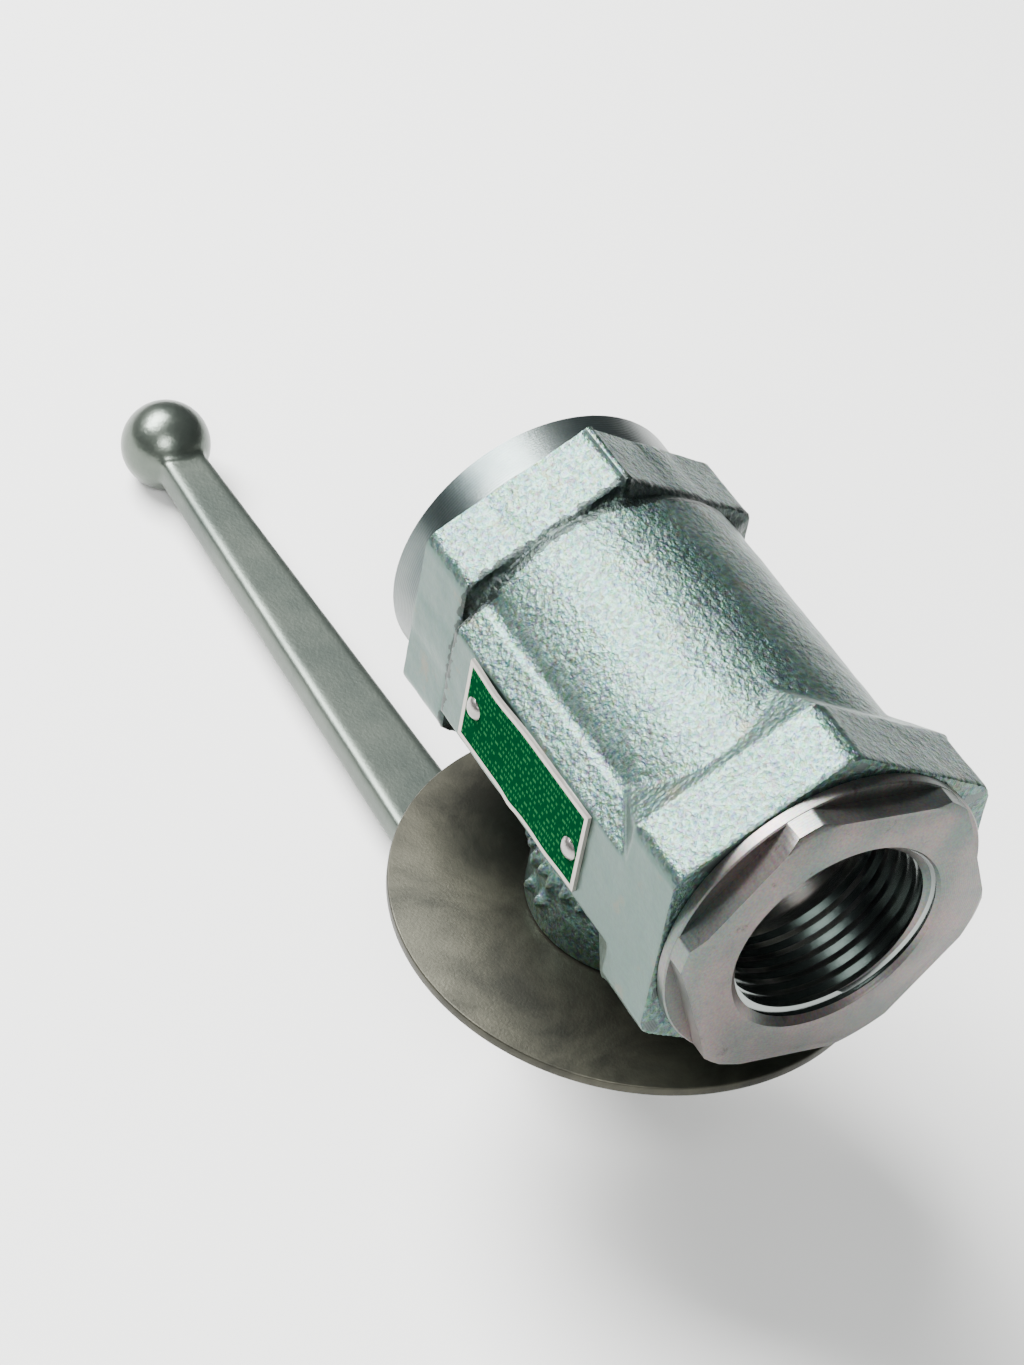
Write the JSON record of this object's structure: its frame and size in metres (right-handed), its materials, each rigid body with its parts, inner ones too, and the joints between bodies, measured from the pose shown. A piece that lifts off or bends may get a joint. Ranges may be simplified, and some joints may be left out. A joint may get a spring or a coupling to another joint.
{
  "type": "plug valve",
  "caption": "Lever-operated quarter-turn valve with a spherical plug, forged hexagon body, screwed-in end connector, round stop disc and cranked lever.",
  "frame": {"origin": "middle of the plug, where the flow axis and the stem axis cross", "axes": "+X along the flow axis towards the end connector's port, -Z along the stem towards the lever, -Y towards the nameplate"},
  "size_m": [0.2088, 0.0756, 0.1105],
  "materials": {
    "zinc_plated_forging": "rough forged steel, zinc plated",
    "machined_zinc_steel": "turned and milled steel, zinc plated",
    "seal_rubber": "moulded nitrile rubber",
    "seal_polymer": "turned seat polymer",
    "bronze_bush": "rolled bronze bush",
    "bright_fasteners": "bright zinc plated steel",
    "green_plate": "green printed sheet aluminium with a bare border",
    "chromed_plug": "ground and chromed steel",
    "disc_sheet": "dull stained steel sheet",
    "lever_steel": "dull zinc plated forged steel"
  },
  "bodies": {
    "valve_body": {"body_forging": "zinc_plated_forging", "end_connector": "machined_zinc_steel", "connector_o_ring": "seal_rubber", "connector_backup_ring": "seal_polymer", "front_seat": "seal_polymer", "rear_seat": "seal_polymer", "front_seat_o_ring": "seal_rubber", "rear_seat_o_ring": "seal_rubber", "stem_bush": "bronze_bush", "stop_pin": "bright_fasteners", "nameplate": "green_plate", "nameplate_rivets": "bright_fasteners"},
    "operator": {"ball_plug": "chromed_plug", "stem": "machined_zinc_steel", "stem_thrust_washer": "seal_polymer", "upper_stem_o_ring": "seal_rubber", "lower_stem_o_ring": "seal_rubber", "stem_backup_ring": "seal_polymer", "stop_disc": "disc_sheet", "lever": "lever_steel", "lever_flat_washer": "bright_fasteners", "lever_spring_washer": "bright_fasteners", "lever_nut": "bright_fasteners"}
  },
  "joints": [
    {"name": "lever_turn", "type": "hinge", "parent": "valve_body", "child": "operator", "pos_m": [0, 0, 0], "axis": [0, 0, 1], "range_deg": [0, 90]}
  ]
}
